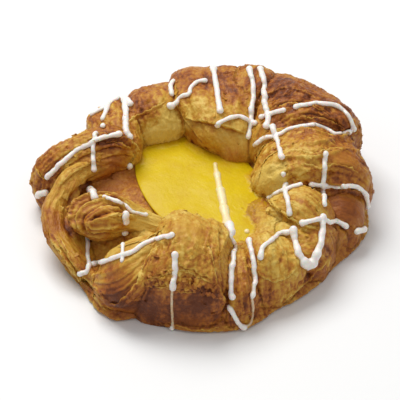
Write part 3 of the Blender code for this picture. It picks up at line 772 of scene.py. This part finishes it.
# Each sheet has its lift and how far in it reaches, in millimetres, and then its edge.
SHEETS = [
    (0.7, 2.6, (14, 262), (19, 271), (26, 280), (34, 289), (42, 299), (50, 309)),
    (0.6, 2.2, (17, 259), (23, 270), (30, 280), (38, 289), (46, 298), (54, 308)),
    (0.5, 2.0, (22, 262), (28, 272), (35, 281), (42, 289), (49, 296), (56, 303)),
    (0.8, 3.0, (87, 267), (80, 275), (76, 283), (73, 291), (68, 298), (62, 303), (55, 304)),
    (0.4, 1.6, (88, 319), (96, 322), (104, 323), (112, 323), (120, 323), (128, 322)),
    (0.3, 1.4, (92, 315), (102, 318), (112, 319), (124, 318)),
    (0.4, 1.6, (79, 288), (86, 286), (92, 284), (98, 282), (104, 282), (110, 285), (116, 288), (122, 292)),
    (0.4, 1.6, (84, 293), (92, 293), (100, 295), (108, 296)),
    (0.5, 1.8, (128, 303), (124, 295), (121, 285), (119, 275), (117, 266)),
    (0.8, 2.6, (74, 209), (68, 203), (60, 198), (50, 199), (40, 200)),
    (0.5, 1.8, (66, 206), (58, 202), (48, 203), (38, 206)),
    (0.6, 2.0, (13, 226), (8, 221), (7, 213), (13, 208)),
    (0.6, 2.4, (213, 196), (200, 199), (187, 196), (174, 194), (161, 196), (152, 203)),
    (0.5, 1.8, (207, 207), (195, 207), (184, 210), (172, 208), (162, 212)),
    (0.5, 1.8, (212, 222), (200, 217), (188, 219), (176, 216)),
    (0.8, 2.4, (219, 238), (211, 233), (202, 231), (192, 231), (182, 233)),
    (0.6, 2.2, (146, 218), (149, 209), (156, 202), (165, 199)),
    (0.5, 1.8, (149, 228), (151, 218), (157, 210), (166, 206)),
    (0.6, 2.2, (194, 186), (184, 180), (172, 178), (160, 181), (151, 188)),
    (0.5, 2.0, (186, 175), (176, 169), (164, 168), (153, 172)),
    (0.6, 2.0, (204, 194), (194, 189), (182, 187), (170, 188)),
    (0.6, 2.2, (186, 258), (177, 255), (168, 250), (160, 244), (153, 238)),
    (0.6, 2.0, (164, 303), (172, 295), (180, 288), (188, 280), (193, 273)),
    (0.5, 2.0, (148, 283), (156, 289), (165, 287), (172, 281)),
    (0.6, 2.0, (90, 176), (82, 181), (74, 184), (66, 190)),
    (0.5, 1.8, (60, 268), (70, 266), (80, 262), (90, 257)),
]


def loose_sheet(surface, lift, reach, *dots):
    """A thin ragged sheet standing off a surface along a drawn line, as rows of points."""
    line = stepped(in_mm(dots), SHEET_STEP)
    landed = [hit for x, y in line if (hit := landing(surface, x, y))[0]]
    last = len(landed) - 1
    rows = []
    for i, (spot, facing) in enumerate(landed):
        ahead = (landed[min(i + 1, last)][0] - landed[max(i - 1, 0)][0]).normalized()
        side = facing.cross(ahead).normalized()
        fade = min(1, (min(i, last - i) * SHEET_STEP + 0.3) / 3)
        torn = noise.noise(spot / 1.1) * 0.7 + noise.noise(spot / 3.5) * 0.8
        row = []
        for k in range(COLUMNS):
            out = k / (COLUMNS - 1)
            away = spot - side * (0.5 + torn) * (1 - out) * fade + side * reach * out * fade
            base, upward, _, _ = surface.find_nearest(away)
            rise = lift * fade * (1 - out) ** 1.4 * (1 + 0.5 * noise.noise(spot / 2.2)) - 0.3 * out
            lifted = base + upward * rise
            row.append(Vector((lifted.x, lifted.y, max(lifted.z, SHEET_THICKNESS))))
        rows.append(row)
    return rows


surface = surface_in_mm(crust)
# The sheets take the crust's brown, which holds painted shade and painted light as well as browning.
crust_brown_and_painted_light = np.empty(len(crust.data.vertices), np.float32)
crust.data.attributes["brown_and_painted_light"].data.foreach_get("value", crust_brown_and_painted_light)
finder = finder_of([vert.co for vert in crust.data.vertices])
points, quads, tones = [], [], []
for sheet in SHEETS:
    rows = loose_sheet(surface, *sheet)
    for i in range(len(rows) - 1):
        start = len(points) + i * COLUMNS
        for corner in range(start, start + COLUMNS - 1):
            quads.append((corner, corner + COLUMNS, corner + COLUMNS + 1, corner + 1))
    for row in rows:
        for k, spot in enumerate(row):
            points.append(spot * MM)
            tones.append(crust_brown_and_painted_light[finder.find(spot * MM)[1]] + 0.12 - 0.1 * (k == 0))
data = bpy.data.meshes.new("loose_sheets")
data.from_pydata(points, [], quads)
carry(data, "brown_and_painted_light", tones)
carry(data, "ridge", EDGE_LIGHT * (len(points) // COLUMNS))
carry_grain(data, points)
sheets = placed("loose_sheets", data)
paper = sheets.modifiers.new("thickness", "SOLIDIFY")
paper.thickness = SHEET_THICKNESS * MM
paper.offset = -1
make_plain(sheets)
sheets.data.shade_smooth()
sheets.data.materials.append(baked)
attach(sheets, "root")
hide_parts("pastry")

# Crisp flakes: small curled chips of the same dough that the oven lifted off the layers.
# They lie where the crust is most broken, each turned its own way and half sunk into it.
FLAKE_SIZE = (1.5, 1.0, 0.16)
FLAKE_CURL = 0.25
FLAKES_PER_SQUARE_METRE = 90000
FLAKE_SEED = 5


def geometry_tree(name, *inputs):
    """A Geometry Nodes tree with named inputs, and the value that each input's socket is to get."""
    tree = bpy.data.node_groups.new(name, "GeometryNodeTree")
    tree.interface.new_socket("Geometry", in_out="INPUT", socket_type="NodeSocketGeometry")
    values = {}
    for label, kind, value in inputs:
        socket = tree.interface.new_socket(label, in_out="INPUT", socket_type=kind)
        values[socket.identifier] = value
    tree.interface.new_socket("Geometry", in_out="OUTPUT", socket_type="NodeSocketGeometry")
    return tree, values


def finish_tree(tree, geometry, finish):
    """End a tree with real, painted geometry."""
    real = node(tree, "GeometryNodeRealizeInstances", Geometry=geometry)
    painted = node(tree, "GeometryNodeSetMaterial", Geometry=real.outputs[0], Material=finish)
    tree.links.new(painted.outputs[0], tree.nodes.new("NodeGroupOutput").inputs[0])


def grow(piece, tree, values):
    """Run a tree on a piece, with its inputs set, and keep the mesh that it makes."""
    grown = piece.modifiers.new("grown", "NODES")
    grown.node_group = tree
    for identifier, value in values.items():
        grown[identifier] = value
    make_plain(piece)


tree, values = geometry_tree(
    "crisp_flakes",
    ("Size", "NodeSocketVector", tuple(side * MM for side in FLAKE_SIZE)),
    ("Curl", "NodeSocketFloat", FLAKE_CURL / MM),
    ("Density", "NodeSocketFloat", FLAKES_PER_SQUARE_METRE),
    ("Seed", "NodeSocketInt", FLAKE_SEED),
)
given = tree.nodes.new("NodeGroupInput").outputs
chip = node(tree, "GeometryNodeMeshCube", Size=given["Size"], Vertices_X=4, Vertices_Y=3, Vertices_Z=2)
spot = tree.nodes.new("GeometryNodeInputPosition").outputs[0]
along_chip = node(tree, "ShaderNodeSeparateXYZ", Vector=spot).outputs["X"]
rise = maths(tree, "MULTIPLY", maths(tree, "MULTIPLY", along_chip, along_chip), given["Curl"])
lift = node(tree, "ShaderNodeCombineXYZ", Z=rise).outputs[0]
curled = node(tree, "GeometryNodeSetPosition", Geometry=chip.outputs["Mesh"], Offset=lift)
loose_here = node(tree, "GeometryNodeInputNamedAttribute", Name="loose").outputs["Attribute"]
density = maths(tree, "MULTIPLY", loose_here, given["Density"])
strewn = node(
    tree, "GeometryNodeDistributePointsOnFaces",
    Mesh=given["Geometry"], Density=density, Seed=given["Seed"],
)
turns, sizes = (tree.nodes.new("FunctionNodeRandomValue") for _ in range(2))
for random, low, high in (
    (turns, (-0.35, -0.35, 0), (0.35, 0.5, math.tau)),
    (sizes, (0.5, 0.6, 0.8), (1.4, 1.5, 1.2)),
):
    random.data_type = "FLOAT_VECTOR"
    random.inputs["Min"].default_value = low
    random.inputs["Max"].default_value = high
    tree.links.new(given["Seed"], random.inputs["Seed"])
laid = node(
    tree, "GeometryNodeInstanceOnPoints",
    Points=strewn.outputs["Points"], Instance=curled.outputs[0],
    Rotation=strewn.outputs["Rotation"], Scale=sizes.outputs["Value"],
)
turned = node(
    tree, "GeometryNodeRotateInstances", Instances=laid.outputs[0], Rotation=turns.outputs["Value"],
)
finish_tree(tree, turned.outputs[0], baked)

flakes = placed("crisp_flakes", crust.data.copy())
grow(flakes, tree, values)
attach(flakes, "root")
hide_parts("pastry")

# The custard: a smooth, moist pool of set pastry cream, poured into the middle before baking.
# It climbs a little where it meets the dough, and its skin there is darker, partly from the oven and partly
# as painted shade.
POOL_SIZE = (32.5, 20)
POOL_MIDDLE = (1.5, 2.2)
POOL_TURN = -60
POOL_TOP = 14.2
POOL_DOME = 1.6
POOL_DEPTH = 5
RIM_WIDTH = 1.6
RIM_CLIMB = 0.5

custard_mesh = bmesh.new()
made = bmesh.ops.create_uvsphere(custard_mesh, u_segments=200, v_segments=110, radius=1)["verts"]
turned = Matrix.Rotation(math.radians(POOL_TURN), 3, "Z")
rim = []
for vert in made:
    x, y, z = vert.co
    flat = turned @ Vector((x * POOL_SIZE[0], y * POOL_SIZE[1], 0)) + Vector((*POOL_MIDDLE, 0))
    top = POOL_TOP + z * (POOL_DOME if z > 0 else POOL_DEPTH)
    spot = flat + Vector((0, 0, top + noise.noise(flat / 13) * 0.6 + noise.noise(flat / 4) * 0.12))
    away = spot - surface.find_nearest(spot)[0]
    beside = min(1, 1.4 - 1.4 * away.z / away.length)
    rim.append(math.exp(-away.length / RIM_WIDTH) * beside)
    if z > 0:
        spot.z += rim[-1] * RIM_CLIMB
    vert.co = spot * MM
pool = bpy.data.meshes.new("custard_pool")
custard_mesh.to_mesh(pool)
custard_mesh.free()
carry(pool, "rim", rim)
custard = placed("custard_pool", pool)
custard.data.shade_smooth()
cream, tree, shader, where = new_finish("custard")
clouds = clouded(tree, where, 110, 3.0)
curd = clouded(tree, where, 800, 4.0, 0.6)
# The rim darkens the custard next to the dough: partly its baked skin, partly painted shade.
tone = summed(tree, 0, (clouds, 0.6), (curd, 0.35), (attribute(tree, "rim"), 0.5))
stops = [(0.2, 217, 191, 14), (0.5, 208, 177, 8), (0.75, 199, 158, 12), (1.0, 170, 122, 20)]
colour, roughness = colours(tree, tone, stops), summed(tree, 0.22, (clouds, 0.3))
dress(tree, shader, colour, roughness, Strength=0.6, Distance=0.0003, Height=curd)
shader.inputs["Specular IOR Level"].default_value = 0.22
custard.data.materials.append(cream)
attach(custard, "root")
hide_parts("custard")

# The icing: sugar icing drizzled to and fro from above in thin beads, set where they fell.
# Each bead is its width, then points across and up as seen from the front, 42 degrees above the table.
BEADS = [
    (1.8, (-37, 38), (-33, 40.3), (-30, 42.4), (-27, 44), (-25, 43), (-23.6, 41.5)),
    (2.3, (-25.8, 43), (-25.2, 37), (-25.5, 32), (-24.5, 30)),
    (1.7, (-31.7, 40.8), (-33, 36.3)),
    (1.6, (-35.7, 31), (-36.2, 28.5), (-36.5, 25), (-36.3, 18.8)),
    (1.8, (-51.9, 16.6), (-46.3, 22), (-41.4, 25.8), (-36.5, 28.5), (-31.7, 30.3), (-27.7, 31)),
    (1.7, (-9.1, 49.4), (-10.2, 47.8), (-9.9, 45)),
    (1.7, (1.6, 49.4), (-1.1, 48.9), (-3.2, 46.7), (-3.4, 45), (-6.2, 44), (-8.1, 41.9)),
    (2.0, (-55.2, 10.4), (-54.2, 11), (-52.9, 11.4)),
    (2.2, (-37.1, 11.8), (-35.6, 9.3)),
    (1.4, (-32.2, 9.7), (-26.3, 7.5), (-22.6, 4.5), (-18.3, 3.5)),
    (1.8, (-25.1, 3.8), (-25.1, 1.1)),
    (1.6, (-38.1, -4.3), (-38.1, -10.2), (-37.5, -15), (-40.3, -16)),
    (1.4, (-25.6, -6.4), (-25.8, -11.8)),
    (1.8, (-36, -13.4), (-31, -11.8), (-26.3, -10), (-22, -8.6), (-19, -6.4), (-15, -4.8), (-9.1, -3.2)),
    (1.9, (-8.2, -9.4), (-8.4, -14), (-9.1, -20.4)),
    (1.2, (-9.2, -20.4), (-9.4, -26.3), (-9.1, -34)),
    (1.5, (-9.2, -34.2), (-9.2, -35)),
    (2.0, (4.5, 54), (5.4, 49), (6.1, 44), (6.8, 38.9)),
    (1.9, (17, 53.5), (17.9, 49), (18, 44.6), (17.4, 39.7), (17, 34.4), (16.6, 30.3)),
    (2.1, (20.6, 53.5), (21.7, 50), (22.2, 45), (22.3, 42), (23.4, 37.5), (22.9, 33.6)),
    (1.8, (24.7, 33.6), (25.8, 30.6), (26.9, 27), (27.7, 23)),
    (1.7, (20.9, 37.1), (28.7, 39.2)),
    (1.7, (5.9, 34.4), (9.7, 36.5), (13.4, 37.1), (16.6, 35.7), (19.1, 34.9)),
    (1.8, (32.8, 40.3), (39, 41.4), (45.6, 41), (48.9, 39), (50.9, 36.5), (52.6, 33)),
    (1.6, (19.1, 27.4), (20.4, 28.7), (22.6, 30), (26.9, 30.6), (30, 32.4), (34, 33.4), (39, 34)),
    (1.6, (39, 34), (42.7, 33), (46.4, 31), (51, 32)),
    (1.8, (29, 14), (29, 11.3), (29.8, 7.5), (30.3, 4)),
    (1.7, (23.6, 9.1), (26.6, 11), (30.1, 12.4), (34, 13.4)),
    (1.8, (42.3, 24.2), (42.1, 19.6), (41.7, 14), (41.7, 7)),
    (1.7, (37.6, 14), (40.8, 13.6), (45.6, 13.4), (52.6, 13.2), (55.6, 11.5), (57, 9), (57.2, 6.5)),
    (1.8, (34.4, 0.7), (37.3, 1.6), (40.8, 2.1), (43.5, 1.1), (46.2, 1.6), (49.4, 0)),
    (2.0, (53, -1.9), (55.4, -1.3)),
    (2.7, (9.5, -0.2), (9.9, -2.4)),
    (1.8, (9.9, -2.4), (10.2, -4.3), (11.5, -7), (11.1, -11.3), (10.2, -17.7), (10.2, -22), (10.7, -23.6)),
    (1.8, (10.2, -26.9), (11.5, -30), (13.3, -33), (14.6, -34)),
    (1.2, (14.6, -34), (17, -32.5), (17.7, -28.5), (17.2, -23.2)),
    (1.8, (16.6, -5.2), (17.2, -8.6), (17.9, -12.9), (18.3, -17.7), (17.3, -23.2)),
    (1.7, (20.4, -10.7), (20.9, -7.3), (23.6, -5.2), (26.9, -2.7), (29.5, -2.1)),
    (2.4, (31.5, -1.6), (32, -5.7), (32.8, -9.6), (34.2, -12.5), (35.9, -13.8), (37.9, -12.5), (39.3, -9.6)),
    (2.2, (39.3, -9.6), (40.3, -5.7), (41, -1.1), (41.2, 2.7)),
    (3, (34.4, -12.3), (35.9, -13.3), (37.6, -12.3)),
    (1.9, (-24.5, 20.4), (-24.4, 20.1)),
    (2.0, (-10.5, 40.8), (-10, 40.7)),
    (2.0, (-25.5, -2.1), (-25.4, -2.1)),
    (1.6, (28.2, 17.7), (28.2, 17.4)),
    (1.6, (-33.3, 33.8), (-33.3, 33.6)),
]
CREAM_BEADS = [
    (1.9, (5.2, 20.9), (5.9, 16.1), (7, 10)),
    (2.4, (5.8, 17.5), (6.8, 12), (7.8, 7)),
    (3.1, (6.9, 12), (8, 7), (8.9, 3), (9.4, 0)),
    (3.4, (8.1, 6), (9, 2), (9.3, 0.5)),
    (1.8, (15.8, -1.8), (15.8, -2.1)),
]
BEAD_FINENESS = 0.3
BEAD_STEP = 0.2
BALL_GAP = 0.25
LARGEST_DROP = 4
# A bead's middle stands above the surface by so many times its radius, or lies below where negative.
SEAT = 0.35
SEAT_ON_CUSTARD = -0.4
SOAKED_SEAT = -0.45
SOAKED_WIDTH = 1.3


def bead_tree(finish):
    """Geometry nodes that melt a string of round points into one smooth bead."""
    tree, values = geometry_tree("icing_beads", ("Fineness", "NodeSocketFloat", BEAD_FINENESS * MM))
    given = tree.nodes.new("NodeGroupInput").outputs
    radius = node(tree, "GeometryNodeInputNamedAttribute", Name="radius").outputs["Attribute"]
    strung = node(tree, "GeometryNodeMeshToPoints", Mesh=given["Geometry"], Radius=radius).outputs["Points"]
    melted = node(tree, "GeometryNodePointsToVolume", Points=strung, Radius=radius)
    skin = node(tree, "GeometryNodeVolumeToMesh", Volume=melted.outputs["Volume"])
    for volume in (melted, skin):
        volume.resolution_mode = "VOXEL_SIZE"
        tree.links.new(given["Fineness"], volume.inputs["Voxel Size"])
    calm = tree.nodes.new("GeometryNodeBlurAttribute")
    calm.data_type = "FLOAT_VECTOR"
    calm.inputs["Iterations"].default_value = 3
    tree.links.new(tree.nodes.new("GeometryNodeInputPosition").outputs[0], calm.inputs["Value"])
    moved = node(
        tree, "GeometryNodeSetPosition", Geometry=skin.outputs["Mesh"], Position=calm.outputs[0],
    )
    rounded = tree.nodes.new("GeometryNodeSetShadeSmooth")
    tree.links.new(moved.outputs[0], rounded.inputs[0])
    finish_tree(tree, rounded.outputs[0], finish)
    return tree, values


def drizzle(name, surface, beads, finish, sink):
    """Beads of icing laid on a surface, as one mesh. The thinnest have soaked in and lie almost flat."""
    spots, radii = [], []
    for width, *points in beads:
        seat = sink if width > SOAKED_WIDTH else SOAKED_SEAT
        table = np.array(points, float)
        length, line = length_of(table), stepped(table, BEAD_STEP)
        runs = [[]]
        for i, at in enumerate(line):
            spot, facing = landing(surface, *at)
            if spot is None or runs[-1] and (spot - runs[-1][-1][1]).length > LARGEST_DROP:
                runs.append([])
            if spot is not None:
                runs[-1].append((i, spot, facing))
        for run in runs:
            for (i, here, facing), (_, after, _) in zip(run, run[1:] + run[-1:]):
                pieces = max(1, round((after - here).length / BALL_GAP))
                end = min(i, len(line) - 1 - i) * length / len(line)
                for k in range(pieces):
                    at = here.lerp(after, k / pieces)
                    swell = 1 + 0.25 * math.exp(-((end / 1.2) ** 2)) + 0.22 * noise.noise(at / 3)
                    radius = width / 2 * swell
                    at = at + facing * radius * seat
                    spots.append(Vector((at.x, at.y, max(at.z, radius + 0.2))) * MM)
                    radii.append(radius * MM)
    data = bpy.data.meshes.new(name)
    data.from_pydata(spots, [], [])
    carry(data, "radius", radii)
    made = placed(name, data)
    grow(made, *bead_tree(finish))
    depths = []
    for vert in made.data.vertices:
        base, upward, _, _ = surface.find_nearest(vert.co / MM)
        depths.append((vert.co / MM - base).dot(upward))
    carry(made.data, "depth", depths)
    return made


def sugar_finish(name, *stops):
    """Set icing: what lies under it shows through where it is thin, and its skin is faintly grainy."""
    made, tree, shader, where = new_finish(name)
    clouds = clouded(tree, where, 300, 3.0)
    grit = clouded(tree, where, 1500, 2.0)
    cover = summed(tree, attribute(tree, "depth"), (maths(tree, "SUBTRACT", clouds, 0.5), 0.5))
    colour, roughness = colours(tree, cover, stops), summed(tree, 0.2, (clouds, 0.25))
    height = maths(tree, "ADD", clouds, grit)
    dress(tree, shader, colour, roughness, Strength=0.25, Distance=0.0002, Height=height)
    shader.inputs["Subsurface Weight"].default_value = 0.25
    shader.inputs["Subsurface Scale"].default_value = 0.001
    return made


sugar = sugar_finish(
    "icing", (0.0, 190, 150, 100), (0.3, 214, 190, 158), (0.5, 231, 223, 212), (0.8, 239, 234, 227),
)
icing = drizzle("icing", surface_in_mm(crust), BEADS, sugar, SEAT)
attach(icing, "root")
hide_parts("pastry")

creamy = sugar_finish(
    "icing_on_custard", (0.0, 222, 194, 84), (0.3, 232, 212, 140), (0.7, 238, 224, 178),
)
both = surface_in_mm(crust, custard)
custard_icing = drizzle("icing_on_custard", both, CREAM_BEADS, creamy, SEAT_ON_CUSTARD)
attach(custard_icing, "root")
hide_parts("custard")

# The table it stands on: a plain, pale, even sheet, lit by the soft lamps of a studio.
# The pastry only rests on it, and the brighter lamp stands above and behind.
MIDDLE = Vector((0, 0, 0.01156))
VIEW_DISTANCE = 1.6

bpy.ops.mesh.primitive_plane_add(size=6, location=(0, 0, -0.0001))
table = bpy.context.object
table.name = "table"
plain, tree, shader, where = new_finish("table")
shade = colours(tree, clouded(tree, where, 4, 2.0), [(0.3, 236, 236, 236), (0.7, 239, 239, 238)])
tree.links.new(shade, shader.inputs["Base Color"])
shader.inputs["Roughness"].default_value = 0.6
table.data.materials.append(plain)

world = bpy.data.worlds.new("studio")
bpy.context.scene.world = world
world.use_nodes = True
sky = world.node_tree.nodes["Background"]
sky.inputs["Color"].default_value = (1, 1, 1, 1)
sky.inputs["Strength"].default_value = 0.46
bpy.context.scene.view_settings.view_transform = "Standard"

for name, offset, size, watts in (
    ("key", (-0.25, 0.4, 0.85), 0.6, 8.2),
    ("fill", (0.3, -0.5, 0.8), 0.7, 1),
):
    light = bpy.data.lights.new(name, "AREA")
    light.size = size
    light.energy = watts
    lamp = placed(name, light)
    lamp.location = MIDDLE + Vector(offset)
    lamp.rotation_euler = (MIDDLE - lamp.location).to_track_quat("-Z", "Y").to_euler()

view = bpy.data.cameras.new("view")
view.lens = 422
camera = placed("view", view)
camera.location = MIDDLE - AHEAD * VIEW_DISTANCE
camera.rotation_euler = (math.pi / 2 - VIEW_SLOPE, 0, 0)
bpy.context.scene.camera = camera
